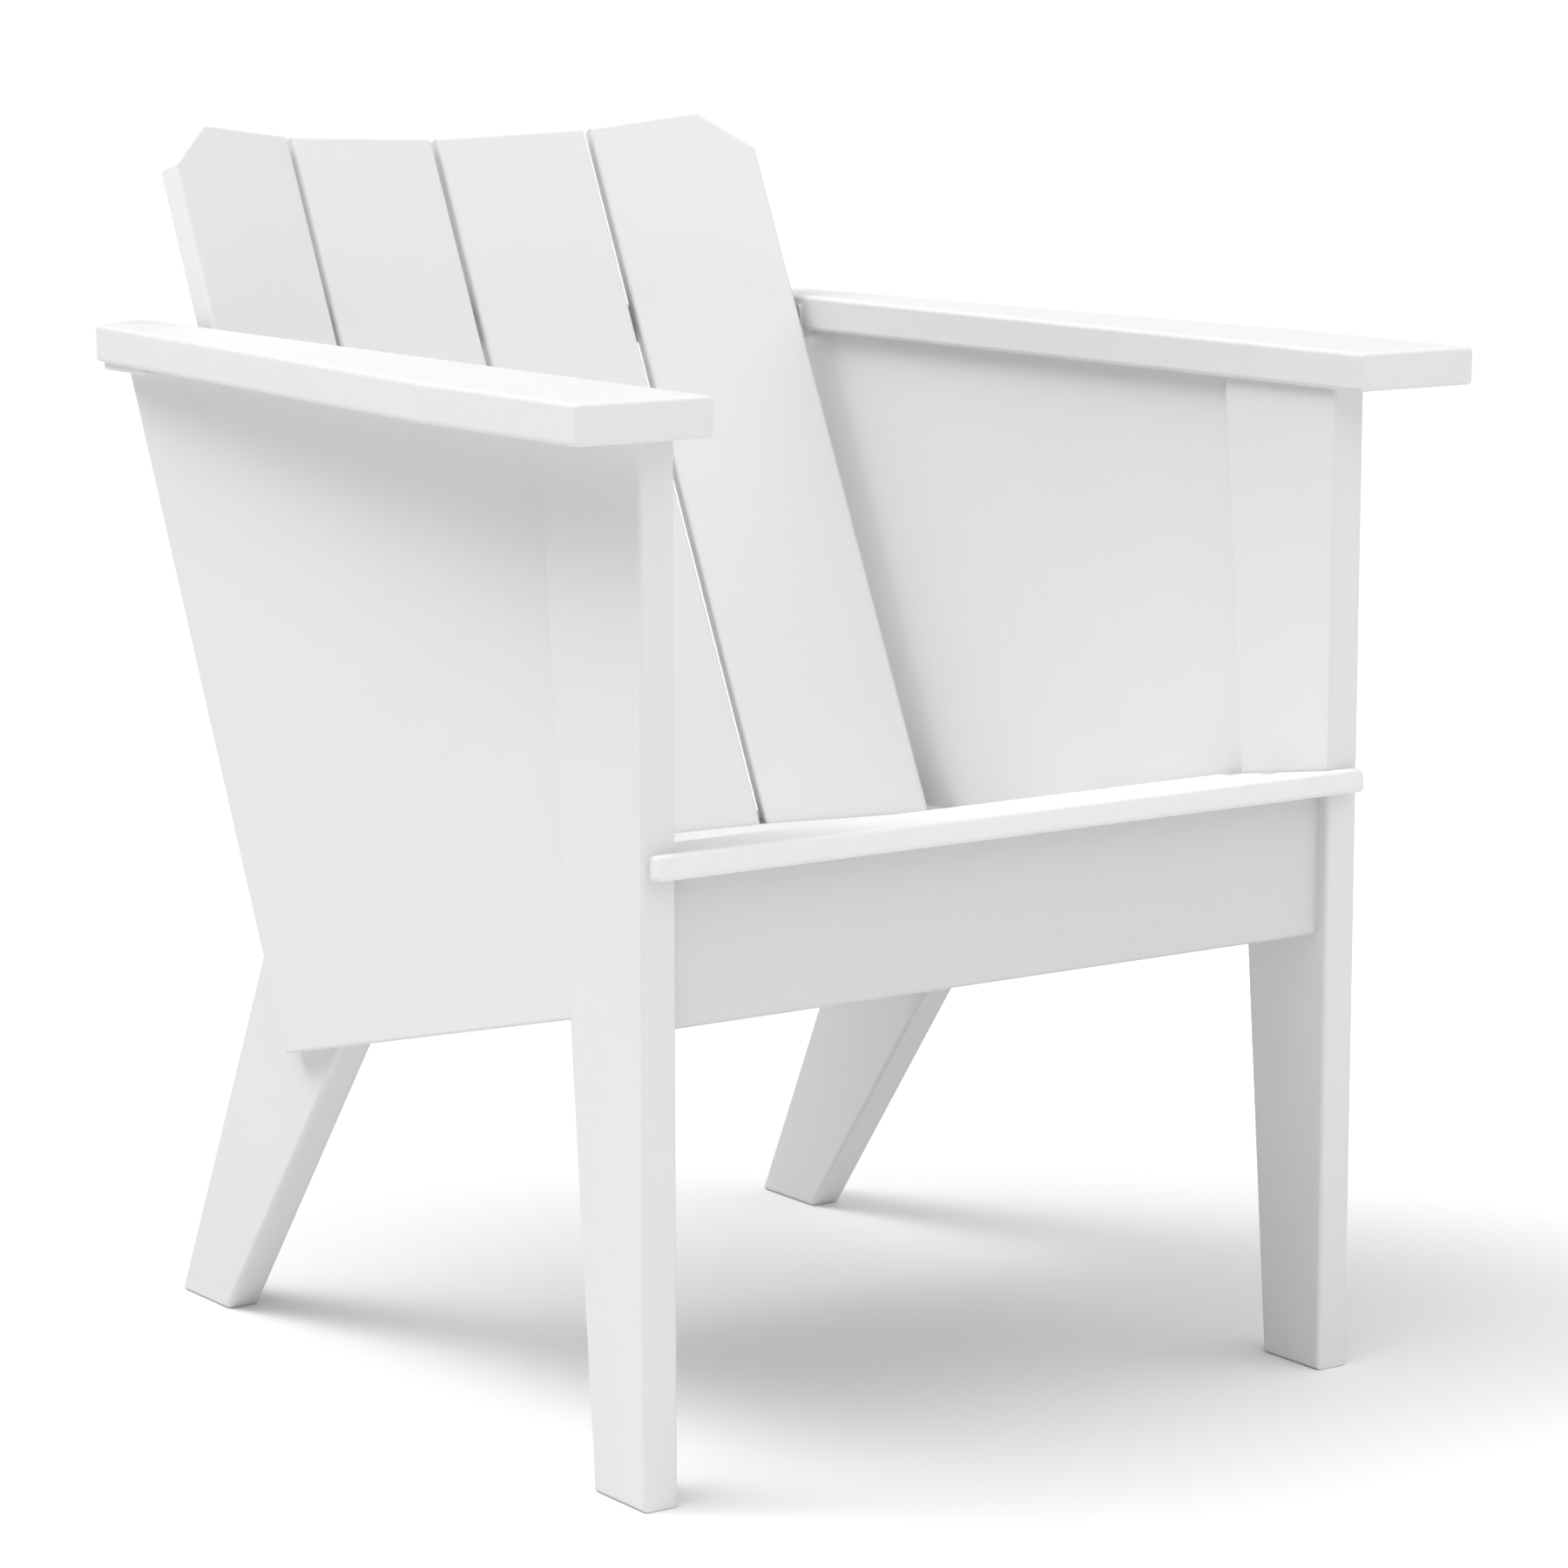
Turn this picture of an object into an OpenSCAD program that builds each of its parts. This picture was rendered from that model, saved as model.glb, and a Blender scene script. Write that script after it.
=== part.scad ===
// Adirondack chair in flat boards: four legs, two solid side panels, broad
// flat arms, a back of four slats set in a shallow fan and a seat of four boards.
// Millimetres. +Z is up, +X is the sitter's left and -Y is the way the sitter faces.
// The origin is on the floor, in the middle of the overall width and depth.

/* [Overall] */
// Width over the outer faces of the two front legs
frame_w = 569; // [480:1:690]
// Height of the underside of the arms, which is the length of the front legs
arm_under_h = 661.5; // [600:0.5:800]
// Distance from the front of the legs to the back, at the seat on the centre line
seat_depth = 471; // [400:1:570]
// Height of the front edge of the seat
seat_front_h = 411; // [360:1:480]
// Thickness of the legs, arms, apron, rails and brace
board_t = 25.4; // [21:0.1:31]

/* [Front legs] */
// Depth of a front leg at the floor, front to rear
front_foot_d = 57; // [45:0.5:75]
// Lean of the rear edge of a front leg from the vertical, in degrees
front_leg_taper = 4.84; // [2:0.02:7]

/* [Side panels] */
// Thickness of a side panel
panel_t = 12.7; // [9:0.1:15.5]
// How far the inner face of a panel lies outside the inner face of the leg
panel_set = 5.6; // [3:0.1:7]
// Width of the leg left in front of the panel
leg_shoulder = 15; // [12:0.5:25]
// Slope of the lower edge of a panel, in degrees
panel_slope = 13.7; // [10:0.1:17]
// Drop from the front edge of the seat to the lower edge of a panel at the front leg
panel_drop = 100; // [80:1:125]
// Lean of the rear edge of a panel from the vertical, in degrees
panel_lean = 24.35; // [20:0.05:28]
// How far the top rear corner of a panel lies behind the front of the middle slats
panel_behind = 24.7; // [20:0.1:35]

/* [Rear legs] */
// Depth of a rear foot at the floor, front to rear
rear_foot_d = 65.7; // [50:0.1:80]
// How far the top rear corner of a rear leg lies behind the front of the middle slats
rear_leg_behind = 24.8; // [15:0.1:35]
// Lean of the rear edge of a rear leg, in degrees
rear_leg_lean = 25.3; // [20:0.1:28]
// Lean of the front edge of a rear leg, in degrees
rear_leg_front_lean = 36.9; // [32:0.1:40]

/* [Arms] */
// Width of an arm at the front
arm_w = 96.5; // [80:0.5:116]
// How far an arm reaches past the outer face of the front leg
arm_over = 65.2; // [54:0.1:79]
// How far an arm reaches in front of the front leg
arm_nose = 32; // [15:0.5:45]
// Distance behind the front of the legs at which the outer edge starts to taper
arm_kink = 150; // [100:5:250]
// Amount by which the outer edge of an arm narrows toward the rear
arm_taper = 46; // [20:1:56]
// How far an arm reaches behind the front of the middle slats
arm_tail = 41; // [36:0.5:60]
// Width of the corner cut off the rear end of an arm
tail_clip_w = 33; // [10:1:40]
// Depth of the corner cut off the rear end of an arm
tail_clip_d = 22; // [10:1:30]

/* [Brace and lower rail] */
// Depth of the brace behind the back, front to rear
brace_d = 80; // [70:1:100]
// Height of the brace left in sight under the arms
brace_show = 6.4; // [4:0.1:10]
// Distance from the outer edge of an arm to the end of the brace
brace_cover = 6; // [3:0.5:12]
// How far the lower rail reaches behind the front of the middle slats
low_rail_tail = 45; // [38:0.5:60]
// Depth of the lower rail, front to rear
low_rail_d = 80; // [70:1:100]

/* [Back] */
// Thickness of the back slats and seat boards
slat_t = 15.9; // [13:0.1:19]
// Length of each back slat along its slope
slat_len = 575; // [480:1:690]
// Gap between neighbouring slats
slat_gap = 4; // [2:0.5:6]
// Space between the face of an outer slat and the side panel
back_side_gap = 18.4; // [14:0.2:30]
// How far the slats reach below the seat, along their slope
slat_drop = 38.6; // [34:0.2:42]
// Lean of the back from the vertical, in degrees
back_lean = 25.1; // [20:0.1:28]
// Turn of each middle slat toward the middle of the seat, in degrees
fan_inner = 5; // [3:0.5:6]
// Turn of each outer slat toward the middle of the seat, in degrees
fan_outer = 17.6; // [12:0.2:20]
// Width of the corner cut off the top of each outer slat
clip_w = 38; // [10:1:60]
// Height of the corner cut off the top of each outer slat
clip_h = 34; // [10:1:60]

/* [Seat] */
// How far the front board stands out in front of the legs
seat_nose = 11; // [6:0.5:16]
// Gap between neighbouring seat boards
seat_gap = 3; // [2:0.5:6]
// Slope of the front board, in degrees
front_slope = 8.8; // [5:0.2:11]
// Slope of the two middle boards, in degrees
middle_slope = 15; // [12:0.1:16]
// Slope of the rear board, in degrees
rear_slope = 3.5; // [2:0.1:6]
// Reach of the front board past the inner face of each front leg
ear_w = 20.4; // [8:0.2:24]
// How far the face of the apron lies behind the front of the legs
apron_set = 9; // [4:0.5:14]
// Drop from the front edge of the seat to the lower edge of the apron
apron_drop = 113.3; // [90:0.1:130]
// Height of a seat rail at the front
rail_h = 52; // [40:1:65]
// Height of the heel of a seat rail, where it stands against the rear leg
rail_heel = 18; // [12:1:25]

/* [Edges] */
// Radius of the eased edges of the boards
ease_r = 3.2; // [1:0.1:4]
// Radius of the eased edges of the side panels
panel_ease_r = 2.5; // [1:0.1:4]

/* [Screws] */
// Shank diameter of the screws
screw_d = 4.6; // [3.5:0.1:5]
// Head diameter of the screws
head_d = 9; // [8:0.1:9.5]
// Length of the screws that hold the seat boards
seat_screw_l = 40; // [34:1:44]
// Length of the screws that hold the back slats
back_screw_l = 24; // [20:1:26]
// Length of the screws that hold the side panels
panel_screw_l = 30; // [26:1:32]

/* [Hidden] */
$fn = 48;
far = 1500;
board_far = 200;
eps = 1;
side_gap = 2;
notch_gap = 1.5;
screw_play = 0.05;
head_t = 3;
head_room = 1;
socket_d = 4.2;
socket_depth = 1.8;
back_grip = 12;
head_sink = 4;
seat_sink = 3.2;
seat_screw_in = 10;
rail_screw_in = 15;
head_screw_drop = 26;
head_screw_step = 28;
head_clear = 2;
rail_clear = 5;
joint_clear = 2;

// Places of the screws, as shares of the length or depth of what they go through
front_board_share = 0.85;
middle_board_shares = [0.18, 0.82];
rear_board_shares = [0.12, 0.28];
slat_shares = [0.25, 0.75];
leg_head_shares = [[0.25, 0], [0.75, 0], [0.5, 1]];
rail_shares = [[0, 0.66, 0.5], [1, 0.5, 0.33], [2, 0.5, 0.25]];

// Across the chair
leg_out = frame_w / 2;
leg_in = leg_out - board_t;
panel_in = leg_in + panel_set;
panel_out = panel_in + panel_t;
rail_in = panel_in - board_t;
arm_out = leg_out + arm_over;
arm_in = arm_out - arm_w;
tail_out = arm_out - arm_taper;
brace_half = tail_out - brace_cover;
slat_pitch = (panel_in - back_side_gap) / (cos(fan_inner) + cos(fan_outer));
slat_w = slat_pitch - slat_gap;

// Seat line: four boards of equal run, each starting at [y, z] with its slope
board_run = (seat_depth + seat_nose) / 4;
slopes = [front_slope, middle_slope, middle_slope, rear_slope];
function start_y(i) = -seat_nose + i * board_run;
function start_z(i) = i == 0 ? seat_front_h : start_z(i - 1) - board_run * tan(slopes[i - 1]);
function under_z(i, y) = start_z(i) - (y - start_y(i)) * tan(slopes[i]) - slat_t / cos(slopes[i]);
seat_back_h = start_z(4);

// Back: distance of the front of the middle slats from the front of the legs, by height
function back_y(z) = seat_depth + (z - seat_back_h) * tan(back_lean);
fan_depth = slat_pitch * (sin(fan_inner) + sin(fan_outer)) / cos(back_lean);
outer_share = (rail_in - slat_pitch * cos(fan_inner)) / (slat_pitch * cos(fan_outer));
slat_rise = slat_pitch * (sin(fan_inner) + outer_share * sin(fan_outer)) * sin(back_lean);
slat_foot_h = seat_back_h - slat_drop * cos(back_lean) + slat_rise - slat_t * sin(back_lean);

// Arms and brace
brace_h = arm_under_h - brace_show;
brace_top_h = brace_h + board_t;
tail_y = back_y(arm_under_h) + arm_tail;
brace_y = tail_y - brace_d;

// Rear legs and lower rail
head_h = slat_foot_h - head_clear;
head_rear_y = back_y(head_h) + rear_leg_behind;
rear_foot_y = head_rear_y + head_h * tan(rear_leg_lean);
low_rail_y = back_y(head_h) + low_rail_tail;
function rear_leg_rear(z) = rear_foot_y - z * tan(rear_leg_lean);
function rear_leg_front(z) = rear_foot_y - rear_foot_d - z * tan(rear_leg_front_lean);

// Side panels: the lower edge and the rear edge meet at low_y
panel_front_h = seat_front_h - panel_drop;
panel_tail_y = back_y(arm_under_h) + panel_behind;
function panel_low_z(y) = panel_front_h - (y - leg_shoulder) * tan(panel_slope);
low_y = (panel_tail_y - (arm_under_h - panel_low_z(0)) * tan(panel_lean))
    / (1 + tan(panel_slope) * tan(panel_lean));

// Seat rails
rail_y = apron_set + board_t;
rail_end_y = back_y(head_h) - fan_depth - rail_clear;

// Middle of the overall depth, which the origin sits under
top_len = slat_len - slat_drop - ease_r;
top_y = seat_depth + top_len * sin(back_lean) + (slat_t - ease_r) * cos(back_lean) + ease_r
    - (slat_gap / 2 + ease_r * (1 - sin(back_lean))) * sin(fan_inner) * cos(back_lean);
mid_depth = (top_y - arm_nose) / 2;

// Outlines as [y, z], seen from the side of the chair
front_leg_pts = [[0, 0], [front_foot_d, 0],
                 [front_foot_d + arm_under_h * tan(front_leg_taper), arm_under_h],
                 [0, arm_under_h]];
panel_pts = [[leg_shoulder, panel_front_h], [low_y, panel_low_z(low_y)],
             [panel_tail_y, arm_under_h], [leg_shoulder, arm_under_h]];
rear_leg_pts = [[rear_leg_front(0), 0], [rear_leg_rear(0), 0],
                [rear_leg_rear(head_h), head_h], [rear_leg_front(head_h), head_h]];
rail_pts = [[rail_y, under_z(0, rail_y) - rail_h],
            [rear_leg_front(head_h - rail_heel), head_h - rail_heel],
            [rear_leg_front(head_h), head_h],
            [rail_end_y, head_h],
            [rail_end_y, under_z(3, rail_end_y)],
            [start_y(3), min(under_z(2, start_y(3)), under_z(3, start_y(3)))],
            [start_y(1), min(under_z(0, start_y(1)), under_z(1, start_y(1)))],
            [rail_y, under_z(0, rail_y)]];

// Outlines as [x, y], seen from above
arm_pts = [[arm_in, -arm_nose], [arm_out, -arm_nose], [arm_out, arm_kink],
           [tail_out, tail_y - tail_clip_d], [tail_out - tail_clip_w, tail_y],
           [arm_in, tail_y]];
brace_pts = [[-brace_half, brace_y], [brace_half, brace_y],
             [brace_half, tail_y - tail_clip_d], [brace_half - tail_clip_w, tail_y],
             [tail_clip_w - brace_half, tail_y], [-brace_half, tail_y - tail_clip_d]];
low_rail_pts = [[-panel_in, low_rail_y - low_rail_d], [panel_in, low_rail_y - low_rail_d],
                [panel_in, low_rail_y], [-panel_in, low_rail_y]];

// Moves a piece from the frame of the front legs to the origin of the chair
module in_place() {
    translate([0, -mid_depth, 0])
        children();
}

// Mirrors a piece drawn for the left side (+X) when side is -1
module on_side(side) {
    mirror([side < 0 ? 1 : 0, 0, 0])
        children();
}

// Stands a board on edge at x, with its outline in [y, z]
module upright(x) {
    translate([x, 0, 0])
        rotate([90, 0, 90])
            children();
}

// Wide board section that ends at 0, square or with both corners rounded by r
module edge_section(t, r) {
    translate([-far, 0])
        square([far - r, t]);
    if (r > 0) {
        translate([-2 * r, r])
            square([2 * r, t - 2 * r]);
        for (h = [r, t - r])
            translate([-r, h])
                circle(r);
    }
}

// Board with a convex, counter-clockwise outline, cut one edge at a time. Each edge
// in the list eased is rounded on both faces; edge k runs from point k to the next.
module board(pts, t, eased, r = ease_r) {
    intersection_for(k = [0:len(pts) - 1])
        board_edge(pts[k], pts[(k + 1) % len(pts)], t, len(search(k, eased)) > 0 ? r : 0);
}

module board_edge(a, b, t, r) {
    translate([a[0], a[1], 0])
        rotate([0, 0, atan2(b[1] - a[1], b[0] - a[0])])
            translate([-far, 0, 0])
                rotate([90, 0, 90])
                    linear_extrude(2 * far)
                        mirror([1, 0])
                            edge_section(t, r);
}

// Frame of the back: origin on the centre line at the seat, Z up the slats
module in_back() {
    translate([0, seat_depth, seat_back_h])
        rotate([-back_lean, 0, 0])
            children();
}

// Frame of one slat: X across it from its inner edge, Y from its face to its back
module in_slat(side, outer) {
    on_side(side)
        in_back()
            rotate([0, 0, -fan_inner])
                translate([outer ? slat_pitch : 0, 0, 0])
                    rotate([0, 0, outer ? fan_inner - fan_outer : 0])
                        children();
}

// Plan of the fan, looking down the slats: the place of a point of a slat's own
// frame, and the line that runs at a depth behind the faces of the slats on the
// left side, from the centre line out to a given reach across the outer slat
fan_hinge = [slat_pitch * cos(fan_inner), -slat_pitch * sin(fan_inner)];
function outer_point(x, y) = fan_hinge + [x * cos(fan_outer) + y * sin(fan_outer),
                                          y * cos(fan_outer) - x * sin(fan_outer)];
function fan_line(depth, reach) =
    let(mitre = (fan_inner + fan_outer) / 2, half = (fan_outer - fan_inner) / 2)
    [[0, depth / cos(fan_inner)],
     fan_hinge + depth / cos(half) * [sin(mitre), cos(mitre)],
     outer_point(reach, depth)];

// Space taken by the slats and everything in front of them
module fan_space() {
    reach = slat_pitch + joint_clear;
    for (side = [-1, 1])
        on_side(side)
            in_back()
                translate([0, 0, -far])
                    linear_extrude(2 * far)
                        polygon(concat([[-eps, -board_far], [-eps, slat_t / cos(fan_inner)]],
                                       fan_line(slat_t, reach), [outer_point(reach, -board_far)]));
}

// Space behind the faces of the slats, less a gap
module behind_back() {
    for (side = [-1, 1])
        on_side(side)
            in_back()
                translate([0, 0, -far])
                    linear_extrude(2 * far)
                        polygon(concat([[-eps, board_far], [-eps, -side_gap / cos(fan_inner)]],
                                       fan_line(-side_gap, panel_in),
                                       [outer_point(panel_in, board_far)]));
}

// Screw along Z with its head seated at 0 and its point at -length
module screw(length) {
    difference() {
        cylinder(d = head_d, h = head_t);
        translate([0, 0, head_t - socket_depth])
            cylinder(d = socket_d, h = head_t, $fn = 6);
    }
    translate([0, 0, -length])
        cylinder(d = screw_d, h = length + head_t - socket_depth);
}

// Hole for that screw, with a counterbore of the given depth above the head seat
module screw_hole(length, bore) {
    translate([0, 0, -length])
        cylinder(d = screw_d + 2 * screw_play, h = length + eps);
    cylinder(d = head_d + 2 * head_room, h = bore);
}

// Seat screws: two at each end of each board, by their place along the board's depth
module at_seat_screws(first, last) {
    depth = board_run - seat_gap;
    first_place = (rail_y + rail_screw_in - start_y(0)) / cos(front_slope);
    places = [[first_place, front_board_share * depth],
              middle_board_shares * depth,
              middle_board_shares * depth,
              rear_board_shares * depth];
    for (i = [first:last])
        for (side = [-1, 1])
            for (y = places[i])
                translate([side * (rail_in + seat_screw_in), start_y(i), start_z(i)])
                    rotate([-slopes[i], 0, 0])
                        translate([0, y, -seat_sink])
                            children();
}

// Back screws: two to a slat, at right angles to it, at the given height
module at_back_screws(height, side, outer) {
    in_slat(side, outer)
        for (x = slat_shares)
            translate([slat_gap / 2 + x * slat_w, slat_t + back_grip,
                       (height - seat_back_h) / cos(back_lean)])
                rotate([-90, 0, 0])
                    children();
}

// Panel screws: outward through the head of a rear leg or through a seat rail
module at_panel_screws(rear) {
    head_places = [for (p = leg_head_shares)
        let(z = head_h - head_screw_drop - p[1] * head_screw_step)
        [rear_leg_front(z) + p[0] * (rear_leg_rear(z) - rear_leg_front(z)), z]];
    rail_places = [for (p = rail_shares)
        let(y = start_y(p[0]) + p[1] * board_run)
        [y, under_z(p[0], y) - p[2] * rail_h]];
    for (p = rear ? head_places : rail_places)
        translate([rail_in + head_sink, p[0], p[1]])
            rotate([0, -90, 0])
                children();
}

module front_leg(side) {
    color("white")
        in_place()
            on_side(side)
                difference() {
                    upright(leg_in)
                        board(front_leg_pts, board_t, [1, 3]);
                    upright(leg_in - eps)
                        linear_extrude(panel_out - leg_in + eps)
                            polygon(panel_pts);
                }
}

module rear_leg(side) {
    color("white")
        in_place()
            on_side(side)
                difference() {
                    upright(rail_in)
                        board(rear_leg_pts, board_t, [1, 3]);
                    at_panel_screws(true)
                        screw_hole(panel_screw_l, far);
                    at_seat_screws(3, 3)
                        screw_hole(seat_screw_l, far);
                }
}

module side_panel(side) {
    color("white")
        in_place()
            on_side(side)
                difference() {
                    upright(panel_in)
                        board(panel_pts, panel_t, [1], panel_ease_r);
                    translate([panel_in - eps, brace_y, brace_h])
                        cube([panel_t + 2 * eps, brace_d * 2, board_t]);
                    for (rear = [true, false])
                        at_panel_screws(rear)
                            screw_hole(panel_screw_l, eps);
                }
}

module arm(side) {
    color("white")
        in_place()
            on_side(side)
                difference() {
                    translate([0, 0, arm_under_h])
                        board(arm_pts, board_t, [0, 1, 2, 3, 4, 5]);
                    translate([0, 0, arm_under_h - eps])
                        linear_extrude(brace_top_h - arm_under_h + eps)
                            polygon(brace_pts);
                }
}

module cross_rail(pts, height, eased) {
    color("white")
        in_place()
            difference() {
                translate([0, 0, height])
                    board(pts, board_t, eased);
                fan_space();
                for (side = [-1, 1])
                    for (outer = [false, true])
                        at_back_screws(height + board_t / 2, side, outer)
                            screw_hole(back_screw_l, brace_d);
            }
}

module slat(side, outer) {
    cut = outer ? [[slat_w, slat_len - clip_h], [slat_w - clip_w, slat_len]] : [[slat_w, slat_len]];
    pts = concat([[0, 0], [slat_w, 0]], cut, [[0, slat_len]]);
    color("white")
        in_place()
            difference() {
                in_slat(side, outer)
                    translate([slat_gap / 2, slat_t, -slat_drop])
                        rotate([90, 0, 0])
                            board(pts, slat_t, [for (k = [1:len(pts) - 1]) k]);
                for (height = [brace_h, head_h])
                    at_back_screws(height + board_t / 2, side, outer)
                        screw_hole(back_screw_l, eps);
            }
}

// Plank across the seat with its top front edge on the seat line
module plank(i, half, extra) {
    depth = board_run / cos(slopes[i]) - seat_gap + extra;
    translate([0, start_y(i), start_z(i)])
        rotate([-slopes[i], 0, 0])
            translate([0, 0, -slat_t])
                board([[-half, 0], [half, 0], [half, depth], [-half, depth]], slat_t, [0, 1, 2, 3]);
}

// Front board, notched round the front legs
module seat_board_front() {
    color("white")
        in_place()
            difference() {
                plank(0, leg_in + ear_w, 0);
                for (side = [-1, 1])
                    on_side(side)
                        translate([leg_in - notch_gap, 0, 0])
                            cube([board_t + notch_gap, seat_depth, seat_front_h]);
                at_seat_screws(0, 0)
                    screw_hole(seat_screw_l, board_t);
            }
}

module seat_board_middle(i) {
    color("white")
        in_place()
            difference() {
                plank(i, panel_in - side_gap, 0);
                at_seat_screws(i, i)
                    screw_hole(seat_screw_l, board_t);
            }
}

// Rear board, cut along its rear edge to follow the fan of the slats
module seat_board_rear() {
    color("white")
        in_place()
            difference() {
                plank(3, panel_in - side_gap, slat_t);
                behind_back();
                at_seat_screws(3, 3)
                    screw_hole(seat_screw_l, board_t);
            }
}

module seat_rail(side) {
    color("white")
        in_place()
            on_side(side)
                difference() {
                    upright(rail_in)
                        linear_extrude(board_t)
                            polygon(rail_pts);
                    at_panel_screws(false)
                        screw_hole(panel_screw_l, head_sink + eps);
                    at_seat_screws(0, 3)
                        screw_hole(seat_screw_l, eps);
                }
}

module apron() {
    foot = seat_front_h - apron_drop;
    pts = [[apron_set, foot], [rail_y, foot],
           [rail_y, under_z(0, rail_y)], [apron_set, under_z(0, apron_set)]];
    color("white")
        in_place()
            difference() {
                upright(-leg_in)
                    linear_extrude(2 * leg_in)
                        polygon(pts);
                upright(-leg_in - eps)
                    translate([apron_set, foot])
                        linear_extrude(2 * (leg_in + eps))
                            ease_corner();
            }
}

// What a rounding cutter takes off a square corner at the origin
module ease_corner() {
    difference() {
        translate([-eps, -eps])
            square(ease_r + eps);
        translate([ease_r, ease_r])
            circle(ease_r);
    }
}

module seat_screws() {
    color("silver")
        in_place()
            at_seat_screws(0, 3)
                screw(seat_screw_l);
}

module back_screws(height) {
    color("silver")
        in_place()
            for (side = [-1, 1])
                for (outer = [false, true])
                    at_back_screws(height + board_t / 2, side, outer)
                        screw(back_screw_l);
}

module panel_screws(side) {
    color("silver")
        in_place()
            on_side(side)
                for (rear = [true, false])
                    at_panel_screws(rear)
                        screw(panel_screw_l);
}

front_leg(1);  // front_leg_left
front_leg(-1);  // front_leg_right
rear_leg(1);  // rear_leg_left
rear_leg(-1);  // rear_leg_right
side_panel(1);  // side_panel_left
side_panel(-1);  // side_panel_right
arm(1);  // arm_left
arm(-1);  // arm_right
cross_rail(brace_pts, brace_h, [0, 3]);  // back_brace
cross_rail(low_rail_pts, head_h, [2]);  // lower_back_rail
slat(1, true);  // outer_slat_left
slat(1, false);  // inner_slat_left
slat(-1, false);  // inner_slat_right
slat(-1, true);  // outer_slat_right
seat_board_front();  // seat_board_1
seat_board_middle(1);  // seat_board_2
seat_board_middle(2);  // seat_board_3
seat_board_rear();  // seat_board_4
seat_rail(1);  // seat_rail_left
seat_rail(-1);  // seat_rail_right
apron();
seat_screws();
back_screws(brace_h);  // upper_back_screws
back_screws(head_h);  // lower_back_screws
panel_screws(1);  // panel_screws_left
panel_screws(-1);  // panel_screws_right
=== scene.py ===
# Adirondack chair of flat white plastic boards. Every board is rebuilt from the outline of
# its CAD node, with rounded edges and corners, counterbored screw holes and its own joints.
import math
from collections import namedtuple

import bmesh
import bpy
from mathutils import Matrix, Vector
from mathutils.geometry import convex_hull_2d


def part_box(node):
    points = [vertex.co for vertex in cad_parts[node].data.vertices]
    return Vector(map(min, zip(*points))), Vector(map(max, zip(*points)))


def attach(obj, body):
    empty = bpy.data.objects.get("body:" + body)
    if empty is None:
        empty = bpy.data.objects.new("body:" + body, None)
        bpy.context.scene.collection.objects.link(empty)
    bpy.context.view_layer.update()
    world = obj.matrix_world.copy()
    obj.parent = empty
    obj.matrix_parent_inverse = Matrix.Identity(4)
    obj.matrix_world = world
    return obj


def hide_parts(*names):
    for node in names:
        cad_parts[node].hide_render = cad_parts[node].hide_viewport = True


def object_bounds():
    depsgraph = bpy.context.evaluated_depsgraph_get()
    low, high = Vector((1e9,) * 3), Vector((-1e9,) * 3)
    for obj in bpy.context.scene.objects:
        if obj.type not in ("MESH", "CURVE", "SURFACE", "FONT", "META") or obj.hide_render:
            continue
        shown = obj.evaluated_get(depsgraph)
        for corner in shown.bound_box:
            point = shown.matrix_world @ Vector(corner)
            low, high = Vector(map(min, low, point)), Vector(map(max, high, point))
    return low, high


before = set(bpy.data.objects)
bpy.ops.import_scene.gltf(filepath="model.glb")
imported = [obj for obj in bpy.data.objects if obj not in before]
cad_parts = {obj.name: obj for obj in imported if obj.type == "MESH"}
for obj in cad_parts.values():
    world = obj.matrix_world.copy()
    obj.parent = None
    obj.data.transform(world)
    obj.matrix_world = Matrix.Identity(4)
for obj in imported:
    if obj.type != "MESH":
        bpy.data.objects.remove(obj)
cad_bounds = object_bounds()

X = Vector((1, 0, 0))
Y = Vector((0, 1, 0))
Z = Vector((0, 0, 1))
SIDES = {"left": 1, "right": -1}

# Boards, in metres. The corners are rounded by a share of the radius of the long edges
EDGE_R = 0.0032
PANEL_EDGE_R = 0.0022
EDGE_STEPS = 5
CORNER_SHARE = 0.4
SHARP_ANGLE = math.radians(24)
LEG_NOTCH_GAP = 0.0015
SLAT_GAP = 0.004
SEAT_TO_SLAT = 0.002

# Reading the CAD: what counts as on a line, as one point, as one direction
OUTLINE_TOLERANCE = 0.0001
WELD = 0.00001
NORMAL_DIGITS = 2
SAME_WAY = 0.98
THROUGH_BOARD = 0.5
# Of the two ways along a line, a board's frame takes the one nearer to these
FACE_WAY = Vector((1, 0.1, 0.01))
LONG_WAY = Vector((1, 0.1, 0.3))

# How far the cutters run past the boards, and a height above the whole chair, in metres
BEYOND = 0.4
OVERHEAD = 1.0

# Screws, in metres
HEAD_T = 0.003
BORE_R = 0.0055
SHANK_R = 0.00235
BORE_STEPS = 40
BORE_OUT = 0.1
SCREW_TO_BOARD = 0.033

# Camera: where the eye stands round the chair, and how it is turned
EYE_DISTANCE = 3.4518
EYE_AZIMUTH = math.radians(34.346)
EYE_HEIGHT = 0.9647
EYE_HEADING = math.radians(35.15)
EYE_PITCH = math.radians(9.636)
LENS_MM = 117.35
SENSOR_MM = 36
CLIP_END = 240

Board = namedtuple("Board", "node place outline thick")


# ---------------------------------------------------------------- reading the CAD boards

def pointing(line, way):
    """The direction line or its opposite, whichever is nearer to the given way."""
    return -line if line.dot(way) < 0 else line


def widest_normal(mesh):
    """Direction that the largest flat area of a mesh faces."""
    areas = {}
    for face in mesh.polygons:
        key = tuple(round(c, NORMAL_DIGITS) for c in face.normal)
        areas.setdefault(key, [0.0, face.normal.copy()])[0] += face.area
    return max(areas.values(), key=lambda entry: entry[0])[1].normalized()


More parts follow.
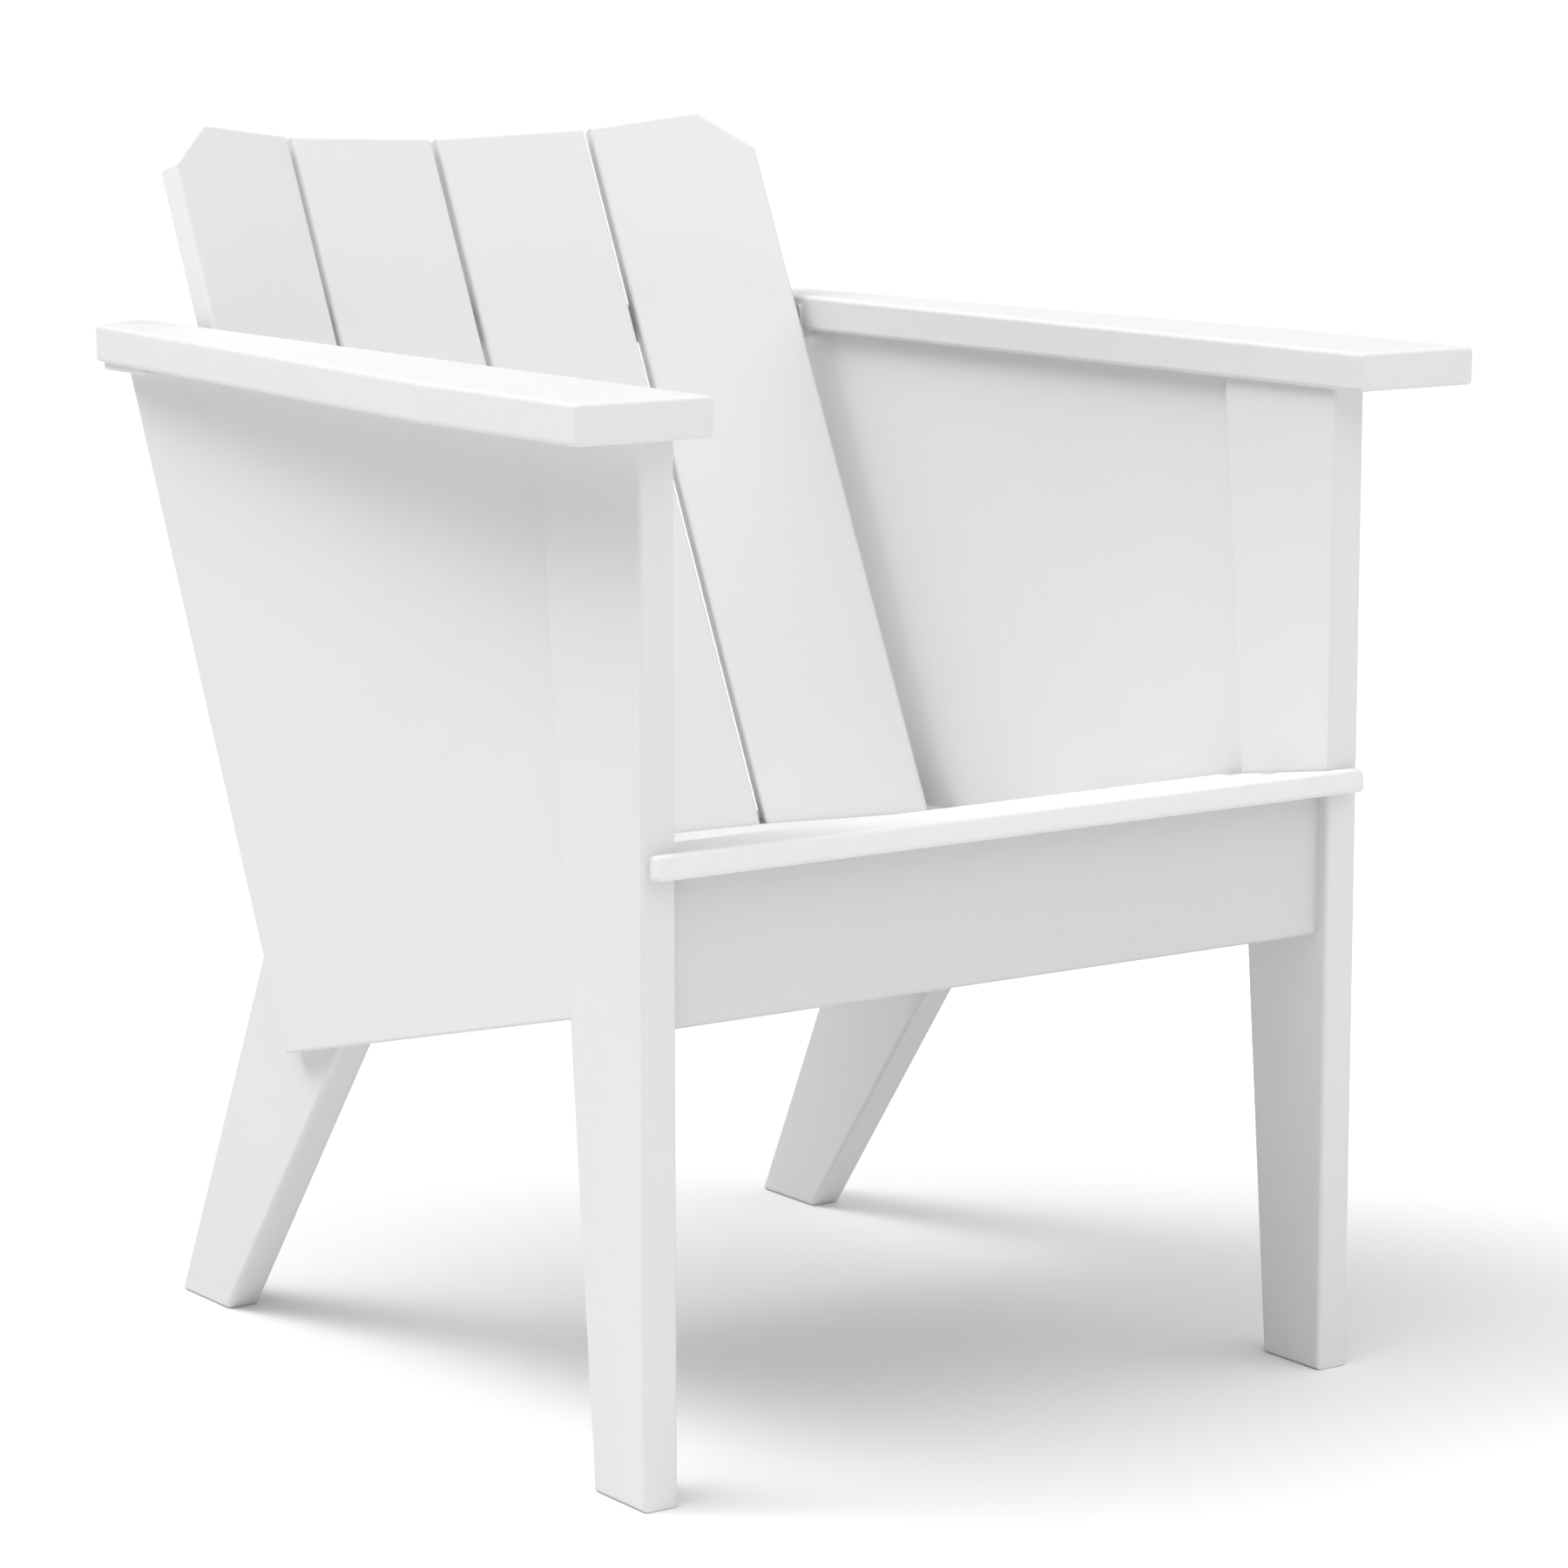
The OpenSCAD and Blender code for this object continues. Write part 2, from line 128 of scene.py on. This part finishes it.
def tidy_outline(points):
    """Drops the points of a closed outline that lie on the line between their neighbours."""
    points = list(points)
    k = 0
    while k < len(points):
        before, here, after = points[k - 1], points[k], points[(k + 1) % len(points)]
        line = after - before
        off = abs(line.cross(here - before)) / line.length if line.length > WELD else 0.0
        if off < OUTLINE_TOLERANCE:
            points.pop(k)
            k = max(0, k - 1)
        else:
            k += 1
    return points


def read_board(node, normal=None, along=None):
    """A CAD board as an outline in its own frame. Z goes through the board, X along its
    longest edge, unless other directions are given."""
    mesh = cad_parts[node].data
    normal = pointing(normal or widest_normal(mesh), FACE_WAY)
    across = normal.orthogonal().normalized()
    other = normal.cross(across)
    flat = [Vector((v.co.dot(across), v.co.dot(other))) for v in mesh.vertices]
    hull = tidy_outline([flat[i] for i in convex_hull_2d(flat)])
    if along is None:
        edges = [b - a for a, b in zip(hull, hull[1:] + hull[:1])]
        longest = max(edges, key=lambda edge: edge.length).normalized()
        along = across * longest.x + other * longest.y
    along = pointing(along, LONG_WAY)
    side = normal.cross(along)
    corners = [across * p.x + other * p.y for p in hull]
    xs = [c.dot(along) for c in corners]
    ys = [c.dot(side) for c in corners]
    depths = [v.co.dot(normal) for v in mesh.vertices]
    middle = Vector([(min(each) + max(each)) / 2 for each in (xs, ys, depths)])
    turn = Matrix((along, side, normal)).transposed()
    place = Matrix.Translation(turn @ middle) @ turn.to_4x4()
    outline = [Vector((x - middle.x, y - middle.y)) for x, y in zip(xs, ys)]
    if sum(a.cross(b) for a, b in zip(outline, outline[1:] + outline[:1])) < 0:
        outline.reverse()
    return Board(node, place, outline, max(depths) - min(depths))


def squared(board):
    """The board with its outline replaced by the rectangle round it."""
    w = max(p.x for p in board.outline)
    d = max(p.y for p in board.outline)
    return board._replace(outline=[Vector(p) for p in ((-w, -d), (w, -d), (w, d), (-w, d))])


# ---------------------------------------------------------------- making meshes

def new_object(name, bm, place=None):
    mesh = bpy.data.meshes.new(name)
    bm.to_mesh(mesh)
    bm.free()
    piece = bpy.data.objects.new(name, mesh)
    bpy.context.scene.collection.objects.link(piece)
    piece.matrix_world = place or Matrix.Identity(4)
    return piece


def make_board(board, radius=EDGE_R, square=()):
    """A board with rounded edges, and less rounded corners. The sides that face a direction
    in square, where another board butts against them, keep their sharp edges."""
    bm = bmesh.new()
    weight = bm.edges.layers.float.new("bevel_weight_edge")
    low = [bm.verts.new((p.x, p.y, -board.thick / 2)) for p in board.outline]
    high = [bm.verts.new((p.x, p.y, board.thick / 2)) for p in board.outline]
    bm.faces.new(reversed(low))
    bm.faces.new(high)
    for k in range(len(low)):
        after = (k + 1) % len(low)
        bm.faces.new((low[k], low[after], high[after], high[k]))
    bm.normal_update()
    turn = board.place.to_3x3()

    def is_square(face):
        return any((turn @ face.normal).dot(way) > SAME_WAY for way in square)

    for edge in bm.edges:
        if not any(is_square(face) for face in edge.link_faces):
            run = (edge.verts[1].co - edge.verts[0].co).normalized()
            edge[weight] = CORNER_SHARE if abs(run.z) > THROUGH_BOARD else 1.0
    piece = new_object(board.node + "_board", bm, board.place)
    step = piece.modifiers.new("eased_edges", "BEVEL")
    step.width = radius
    step.segments = EDGE_STEPS
    step.limit_method = "WEIGHT"
    apply_modifiers(piece)
    return piece


def make_block(place, low, high):
    """A plain box, used to cut with, between two corners of the frame place."""
    bm = bmesh.new()
    bmesh.ops.create_cube(bm, size=1.0)
    size = Vector(high) - Vector(low)
    middle = (Vector(high) + Vector(low)) / 2
    fit = Matrix.Translation(middle) @ Matrix.Diagonal((*size, 1))
    bmesh.ops.transform(bm, matrix=fit, verts=bm.verts)
    return new_object("cutter", bm, place)


def make_rod(foot, tip, radius):
    """A round cutter from foot to tip."""
    bm = bmesh.new()
    way = tip - foot
    sizes = {"radius1": radius, "radius2": radius, "depth": way.length}
    bmesh.ops.create_cone(bm, cap_ends=True, segments=BORE_STEPS, **sizes)
    turn = way.to_track_quat("Z", "Y").to_matrix().to_4x4()
    return new_object("cutter", bm, Matrix.Translation((foot + tip) / 2) @ turn)


def welded(mesh):
    """A mesh opened for editing, with the points that coincide made one."""
    bm = bmesh.new()
    bm.from_mesh(mesh)
    bmesh.ops.remove_doubles(bm, verts=bm.verts, dist=WELD)
    return bm


def cad_copy(node):
    """The solid of a CAD node, used to cut with."""
    return new_object("cutter", welded(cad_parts[node].data))


def apply_modifiers(piece):
    """Replaces a piece's mesh by what its modifiers make of it."""
    evaluated = piece.evaluated_get(bpy.context.evaluated_depsgraph_get())
    mesh = bpy.data.meshes.new_from_object(evaluated)
    piece.modifiers.clear()
    piece.data = mesh


def cut(piece, cutter):
    """Takes the cutter out of the piece, and removes the cutter."""
    step = piece.modifiers.new("cut", "BOOLEAN")
    step.operation = "DIFFERENCE"
    step.solver = "EXACT"
    step.object = cutter
    apply_modifiers(piece)
    bpy.data.objects.remove(cutter)


def islands(node):
    """The separate solids of a CAD node, as lists of points, always in the same order."""
    bm = welded(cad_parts[node].data)
    bm.verts.index_update()
    seen = set()
    found = []
    for start in bm.verts:
        if start.index in seen:
            continue
        seen.add(start.index)
        grown = [start]
        points = []
        while grown:
            vert = grown.pop()
            points.append(vert.co.copy())
            for edge in vert.link_edges:
                other = edge.other_vert(vert)
                if other.index not in seen:
                    seen.add(other.index)
                    grown.append(other)
        found.append(points)
    bm.free()
    return found


def cut_screw_holes(piece, board, screws, outward):
    """Counterbores and shank holes for each screw of a node that goes through the board."""
    inverse = board.place.inverted()
    half = Vector((*map(max, zip(*board.outline)), SCREW_TO_BOARD))
    for points in islands(screws):
        middle = sum(points, Vector()) / len(points)
        local = inverse @ middle
        if any(abs(at) > most for at, most in zip(local, half)):
            continue
        head = max(p.dot(outward) for p in points)
        tip = min(p.dot(outward) for p in points)
        axis = middle - outward * middle.dot(outward)
        for foot, end, radius in (
            (head - HEAD_T, head + BORE_OUT, BORE_R),
            (tip, head - HEAD_T / 2, SHANK_R),
        ):
            cut(piece, make_rod(axis + outward * foot, axis + outward * end, radius))


def finish_mesh(piece):
    """Smooth shading over the rounded edges, flat shading over the faces of the boards."""
    bm = welded(piece.data)
    for face in bm.faces:
        face.smooth = True
    for edge in bm.edges:
        edge.smooth = len(edge.link_faces) == 2 and edge.calc_face_angle(0.0) < SHARP_ANGLE
    bm.to_mesh(piece.data)
    bm.free()
    weighted = piece.modifiers.new("flat_faces", "WEIGHTED_NORMAL")
    weighted.keep_sharp = True


def settle(piece, node, material):
    """Ties a finished piece to the frame in place of its CAD node."""
    finish_mesh(piece)
    piece.data.materials.clear()
    piece.data.materials.append(material)
    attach(piece, "root")
    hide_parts(node)


# ---------------------------------------------------------------- materials

# Sockets of the Mix node that carry colours
MIX_FIRST = 6
MIX_SECOND = 7
MIX_RESULT = 2


class Nodes:
    """Short way to add and join the nodes of one material."""

    def __init__(self, name):
        self.material = bpy.data.materials.new(name)
        self.material.use_nodes = True
        self.tree = self.material.node_tree
        self.shader = self.tree.nodes["Principled BSDF"]

    def add(self, kind, settings=None, **inputs):
        node = self.tree.nodes.new(kind)
        for key, value in (settings or {}).items():
            setattr(node, key, value)
        for key, value in inputs.items():
            self.put(node, key.replace("_", " "), value)
        return node

    def put(self, node, key, value):
        if isinstance(value, bpy.types.NodeSocket):
            self.tree.links.new(value, node.inputs[key])
        else:
            node.inputs[key].default_value = value

    def noise(self, vector, scale, detail=2.0, roughness=0.5):
        node = self.add("ShaderNodeTexNoise", Scale=scale, Vector=vector)
        self.put(node, "Detail", detail)
        self.put(node, "Roughness", roughness)
        return node.outputs["Fac"]

    def math(self, operation, a, b=0.0):
        node = self.add("ShaderNodeMath", {"operation": operation})
        self.put(node, 0, a)
        self.put(node, 1, b)
        return node.outputs[0]

    def remap(self, value, low, high):
        node = self.add("ShaderNodeMapRange")
        self.put(node, "Value", value)
        self.put(node, "To Min", low)
        self.put(node, "To Max", high)
        return node.outputs["Result"]

    def share(self, share, first, second):
        """The sum of a share of the first value and the rest of the second."""
        parts = [self.math("MULTIPLY", first, share), self.math("MULTIPLY", second, 1 - share)]
        return self.math("ADD", *parts)

    def mix(self, factor, first, second):
        """A colour between two others, each given as red, green and blue."""
        node = self.add("ShaderNodeMix", {"data_type": "RGBA"}, Factor=factor)
        self.put(node, MIX_FIRST, (*first, 1))
        self.put(node, MIX_SECOND, (*second, 1))
        return node.outputs[MIX_RESULT]

    def stretched(self, vector, times, lean):
        """Coordinates drawn out in the XY direction that leans by an angle from X."""
        node = self.add("ShaderNodeMapping", {"vector_type": "TEXTURE"}, Vector=vector)
        self.put(node, "Rotation", (0, 0, lean))
        self.put(node, "Scale", (times, 1, 1))
        return node.outputs["Vector"]


# White plastic: sizes and depths in metres, scales per metre
WHITE_LIGHT = 0.715
WHITE_DARK = 0.685
WARMTH = 0.992
WHITE_ROUGH = (0.50, 0.66)
WHITE_IOR = 1.5
WHITE_SPECULAR = 0.15
PEEL_SIZE = 0.0011
PEEL_DETAIL = 3.0
PEEL_DEPTH = 0.00006
PEEL_SHARE = 0.65
PEBBLE_SIZE = 0.0024
FINE_ROUGH = 0.6
STREAK_SIZE = 0.0009
STREAK_STRETCH = 33.0
STREAK_DEPTH = 0.00005
STREAK_STRENGTH = 0.8
EDGE_FACING = 0.6
CLOUD_SCALE = 7.0
CLOUD_DETAIL = 3.0
CLOUD_SHARE = 0.6
REAR_LEG_LEAN = math.radians(31)
PANEL_LEAN = math.radians(24.35)

# How strong the skin of a board is, and how much lighter or darker than the legs and arms its
# colour is painted: painted light on the slats and seat boards, painted shade on the apron
# recessed under the front seat board
PANEL_PEEL = 0.8
APRON_PEEL = 1.6
SLAT_PAINTED_LIGHT = 1.06
APRON_PAINTED_SHADE = 0.9

# Screw steel
STEEL_DARK = (0.50, 0.50, 0.50)
STEEL_LIGHT = (0.66, 0.66, 0.65)
STEEL_ROUGH = (0.22, 0.42)
MARK_SCALE = 2500.0
MARK_DEPTH = 0.00003
MARK_STRENGTH = 0.3
PATCH_SCALE = 300.0

# Floor
FLOOR_TONES = (0.815, 0.825)
FLOOR_SCALE = 0.6
FLOOR_ROUGH = 0.9


def white_plastic(name, peel=1.0, lean=0.0, tone=1.0):
    """Satin white board: a fine pebbled skin, and saw streaks along its narrow edges, which
    lean by an angle from the board's own X."""
    n = Nodes(name)
    coords = n.add("ShaderNodeTexCoord")
    place = coords.outputs["Object"]
    grain = n.noise(place, 1 / PEEL_SIZE, PEEL_DETAIL, FINE_ROUGH)
    pebble = n.add("ShaderNodeTexVoronoi", {"feature": "SMOOTH_F1"}, Scale=1 / PEBBLE_SIZE)
    n.put(pebble, "Vector", place)
    skin = n.share(PEEL_SHARE, grain, pebble.outputs["Distance"])
    lines = n.stretched(place, STREAK_STRETCH, lean)
    streaks = n.noise(lines, 1 / STREAK_SIZE, roughness=FINE_ROUGH)
    facing = n.add("ShaderNodeSeparateXYZ", Vector=coords.outputs["Normal"]).outputs["Z"]
    on_edge = n.math("LESS_THAN", n.math("ABSOLUTE", facing), EDGE_FACING)
    peel_bump = n.add("ShaderNodeBump", Strength=peel, Distance=PEEL_DEPTH, Height=skin)
    bump = n.add("ShaderNodeBump", Strength=STREAK_STRENGTH, Distance=STREAK_DEPTH)
    n.put(bump, "Height", n.math("MULTIPLY", streaks, on_edge))
    n.put(bump, "Normal", peel_bump.outputs["Normal"])
    mottle = n.share(CLOUD_SHARE, n.noise(place, CLOUD_SCALE, CLOUD_DETAIL), grain)
    # tone scales the whole colour: above 1 it is painted light, below 1 it is painted shade
    dark, light = [
        (white, white, white * WARMTH) for white in (WHITE_DARK * tone, WHITE_LIGHT * tone)
    ]
    n.put(n.shader, "Base Color", n.mix(mottle, dark, light))
    n.put(n.shader, "Roughness", n.remap(skin, *WHITE_ROUGH))
    n.put(n.shader, "Normal", bump.outputs["Normal"])
    n.put(n.shader, "IOR", WHITE_IOR)
    n.put(n.shader, "Specular IOR Level", WHITE_SPECULAR)
    return n.material


def screw_steel():
    """Stainless steel with fine turning marks."""
    n = Nodes("screw_steel")
    place = n.add("ShaderNodeTexCoord").outputs["Object"]
    marks = n.noise(place, MARK_SCALE)
    patches = n.noise(place, PATCH_SCALE)
    n.put(n.shader, "Base Color", n.mix(patches, STEEL_DARK, STEEL_LIGHT))
    n.put(n.shader, "Roughness", n.remap(marks, *STEEL_ROUGH))
    bump = n.add("ShaderNodeBump", Strength=MARK_STRENGTH, Distance=MARK_DEPTH, Height=marks)
    n.put(n.shader, "Normal", bump.outputs["Normal"])
    n.put(n.shader, "Metallic", 1.0)
    return n.material


def floor_white():
    """Matt studio floor, almost even in tone."""
    n = Nodes("floor_white")
    place = n.add("ShaderNodeTexCoord").outputs["Object"]
    tone = n.remap(n.noise(place, FLOOR_SCALE), *FLOOR_TONES)
    colour = n.add("ShaderNodeCombineColor", Red=tone, Green=tone, Blue=tone)
    n.put(n.shader, "Base Color", colour.outputs[0])
    n.put(n.shader, "Roughness", FLOOR_ROUGH)
    n.put(n.shader, "Specular IOR Level", 0.0)
    return n.material


# ---------------------------------------------------------------- the chair

board_white = white_plastic("board_white")
# painted light: the slats and seat boards get a lighter copy of the white
slat_painted_light_white = white_plastic("slat_painted_light_white", tone=SLAT_PAINTED_LIGHT)
rear_leg_white = white_plastic("rear_leg_white", lean=REAR_LEG_LEAN)
panel_white = white_plastic("panel_white", PANEL_PEEL, PANEL_LEAN)
# painted shade: the apron, recessed under the front seat board, gets a darker copy of the white
apron_painted_shade_white = white_plastic("apron_painted_shade_white", APRON_PEEL, tone=APRON_PAINTED_SHADE)
steel = screw_steel()

RAILS = {"back_brace": "upper_back_screws", "lower_back_rail": "lower_back_screws"}
SLATS = ("outer_slat_left", "inner_slat_left", "inner_slat_right", "outer_slat_right")
SEAT_BOARDS = ("seat_board_1", "seat_board_2", "seat_board_3", "seat_board_4")


def build_legs():
    """The legs. The front ones are rebated for the panels, the rear ones drilled for screws."""
    for side in SIDES:
        panel = "side_panel_" + side
        front = make_board(read_board("front_leg_" + side, X, Z), square=(Z,))
        cut(front, cad_copy(panel))
        settle(front, "front_leg_" + side, board_white)
        board = read_board("rear_leg_" + side, X, Z)
        rear = make_board(board, square=(Z,))
        cut_screw_holes(rear, board, "panel_screws_" + side, -X * SIDES[side])
        settle(rear, "rear_leg_" + side, rear_leg_white)


def build_panels():
    """The side panels, notched round the ends of the brace."""
    for side in SIDES:
        board = read_board("side_panel_" + side, X, Z)
        panel = make_board(board, PANEL_EDGE_R, (Z, -Y))
        cut(panel, cad_copy("back_brace"))
        cut_screw_holes(panel, board, "panel_screws_" + side, -X * SIDES[side])
        settle(panel, "side_panel_" + side, panel_white)


def build_arms():
    """The arms, pocketed for the brace, which is flush with their rear ends."""
    brace = read_board("back_brace", Z)
    low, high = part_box("back_brace")
    corners = [brace.place @ p.to_3d() for p in brace.outline]
    rear = [corner for corner in corners if corner.y > high.y - OUTLINE_TOLERANCE]
    flat = max(corner.x for corner in rear) - EDGE_R * CORNER_SHARE
    block = (-flat, low.y + EDGE_R, 0), (flat, high.y + EDGE_R, high.z - EDGE_R)
    for side in SIDES:
        arm = make_board(read_board("arm_" + side, Z))
        cut(arm, make_board(brace))
        cut(arm, make_block(None, *block))
        settle(arm, "arm_" + side, board_white)


def slat_frame(board):
    """Frame of a slat with X outward from the centre line, Y to the rear and Z up the slat."""
    turn = board.place.to_3x3()
    up = pointing(turn.col[0], Z)
    back = pointing(turn.col[2], Y)
    out = pointing(back.cross(up), X * board.place.translation.x)
    place = Matrix((out, back, up)).transposed().to_4x4()
    place.translation = board.place.translation
    return place


def rear_of(board):
    """Direction that the back of a slat faces."""
    return slat_frame(board).col[1].xyz


def build_back():
    """The slats. Returns their boards, which the rails and the rear seat board follow."""
    slats = [read_board(node) for node in SLATS]
    for board in slats:
        slat = make_board(board)
        for screws in RAILS.values():
            cut_screw_holes(slat, board, screws, rear_of(board))
        # the slats take the lighter white, a painted light
        settle(slat, board.node, slat_painted_light_white)
    return slats


def fan_blocks(slats, rearward):
    """Cutters for what lies behind the faces of the slats, or in front of their backs."""
    mitre = rear_of(slats[0]).angle(rear_of(slats[1])) / 2
    for board in slats:
        place = slat_frame(board)
        half = max(p.y for p in board.outline) + SLAT_GAP / 2
        is_outer = board.node.startswith("outer")
        skew = board.thick * math.tan(mitre)
        if rearward:
            inward = half + (0 if is_outer else SLAT_GAP)
            outward = half + (BEYOND if is_outer else 0)
            front = -board.thick / 2 - SEAT_TO_SLAT
            rear = BEYOND
        else:
            inward = half + (skew if is_outer else SLAT_GAP)
            outward = half + (SEAT_TO_SLAT if is_outer else skew)
            front = -BEYOND / 2
            rear = board.thick / 2
        yield make_block(place, (-inward, front, -BEYOND * 2), (outward, rear, BEYOND * 2))


def build_rails(slats):
    """The brace and the lower rail, whose faces follow the fan of the slats."""
    for node, screws in RAILS.items():
        board = read_board(node, Z)
        rail = make_board(board, square=() if node == "back_brace" else (X, -X))
        for block in fan_blocks(slats, rearward=False):
            cut(rail, block)
        for slat in slats:
            cut_screw_holes(rail, slat, screws, rear_of(slat))
        settle(rail, node, board_white)


def build_apron(front_board):
    """The apron, whose top follows the underside of the front seat board."""
    apron = make_board(read_board("apron", Y), square=(X, -X, Z))
    low = (-BEYOND, -BEYOND, -front_board.thick / 2)
    high = (BEYOND, BEYOND, BEYOND)
    cut(apron, make_block(front_board.place, low, high))
    # the apron takes the darker white, a painted shade
    settle(apron, "apron", apron_painted_shade_white)


def cut_leg_notches(piece):
    """Notches in the front seat board round the front legs."""
    leg_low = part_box("front_leg_left")[0]
    notch_x = leg_low.x - LEG_NOTCH_GAP
    for side in SIDES.values():
        inner, outer = sorted((side * notch_x, side * BEYOND))
        cut(piece, make_block(None, (inner, leg_low.y, 0), (outer, BEYOND, OVERHEAD)))


def build_seat(slats):
    """The seat boards, and the apron under the front one."""
    for node in SEAT_BOARDS:
        board = squared(read_board(node))
        piece = make_board(board)
        if node == SEAT_BOARDS[0]:
            build_apron(board)
            cut_leg_notches(piece)
        if node == SEAT_BOARDS[-1]:
            for block in fan_blocks(slats, rearward=True):
                cut(piece, block)
        up = pointing(board.place.to_3x3().col[2], Z)
        cut_screw_holes(piece, board, "seat_screws", up)
        # the seat boards take the lighter white, a painted light
        settle(piece, node, slat_painted_light_white)


def dress_cad(nodes, material):
    """Gives CAD nodes that stay as they are a finished material."""
    for node in nodes:
        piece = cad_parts[node]
        piece.data.materials.clear()
        piece.data.materials.append(material)


build_legs()
build_panels()
build_arms()
back_slats = build_back()
build_rails(back_slats)
build_seat(back_slats)
dress_cad(("seat_rail_left", "seat_rail_right"), board_white)
dress_cad([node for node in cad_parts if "screws" in node], steel)


# ---------------------------------------------------------------- floor, light and camera

FLOOR_SIZE = 120
# Soft lights on the dome: from the left, from the camera's side, from above, tightness, strength
SKY_LIGHTS = (
    (0.00, 0.80, 0.60, 4.0, 0.84),
    (-0.60, 0.20, 0.77, 4.0, 1.72),
    (0.30, 0.00, 0.95, 30.0, 1.20),
    (0.62, -0.12, 0.77, 30.0, 9.00),
    (0.42, 0.30, 0.86, 20.0, 3.10),
    (0.00, -0.50, 0.87, 8.0, 0.60),
)


def add_floor():
    """A wide floor at the foot of the chair."""
    bm = bmesh.new()
    bmesh.ops.create_grid(bm, x_segments=1, y_segments=1, size=FLOOR_SIZE / 2)
    floor = new_object("floor", bm, Matrix.Translation((0, 0, cad_bounds[0].z)))
    floor.data.materials.append(floor_white())


def add_light():
    """A dark studio dome with soft lights on it, placed as seen from the camera."""
    world = bpy.data.worlds.new("studio")
    bpy.context.scene.world = world
    world.use_nodes = True
    tree = world.node_tree
    left = Vector((-math.cos(EYE_HEADING), math.sin(EYE_HEADING), 0))
    near = Vector((-math.sin(EYE_HEADING), -math.cos(EYE_HEADING), 0))
    direction = tree.nodes.new("ShaderNodeTexCoord").outputs["Generated"]

    def math_node(operation, value, *others):
        node = tree.nodes.new("ShaderNodeMath")
        node.operation = operation
        tree.links.new(value, node.inputs[0])
        for k, other in enumerate(others, 1):
            if isinstance(other, float):
                node.inputs[k].default_value = other
            else:
                tree.links.new(other, node.inputs[k])
        return node.outputs[0]

    glow = 0.0
    for from_left, from_near, from_above, tightness, strength in SKY_LIGHTS:
        middle = left * from_left + near * from_near + Z * from_above
        dot = tree.nodes.new("ShaderNodeVectorMath")
        dot.operation = "DOT_PRODUCT"
        dot.inputs[1].default_value = middle.normalized()
        tree.links.new(direction, dot.inputs[0])
        lobe = math_node("POWER", math_node("MAXIMUM", dot.outputs["Value"], 0.0), tightness)
        glow = math_node("MULTIPLY_ADD", lobe, strength, glow)
    tree.links.new(glow, tree.nodes["Background"].inputs["Strength"])
    tree.nodes["Background"].inputs["Color"].default_value = (1, 1, 1, 1)


def add_camera():
    """The camera, placed from the middle of the chair's footprint."""
    low, high = cad_bounds
    camera = bpy.data.objects.new("camera", bpy.data.cameras.new("camera"))
    bpy.context.scene.collection.objects.link(camera)
    bpy.context.scene.camera = camera
    camera.data.lens = LENS_MM
    camera.data.sensor_width = SENSOR_MM
    base = Vector(((low.x + high.x) / 2, (low.y + high.y) / 2, low.z))
    stand = Vector((-math.sin(EYE_AZIMUTH), -math.cos(EYE_AZIMUTH), 0)) * EYE_DISTANCE
    camera.location = base + stand + Z * EYE_HEIGHT
    level = Vector((math.sin(EYE_HEADING), math.cos(EYE_HEADING), 0)) * math.cos(EYE_PITCH)
    camera.rotation_mode = "QUATERNION"
    camera.rotation_quaternion = (level - Z * math.sin(EYE_PITCH)).to_track_quat("-Z", "Y")
    camera.data.clip_end = CLIP_END


add_floor()
add_light()
add_camera()
bpy.context.scene.view_settings.view_transform = "Standard"
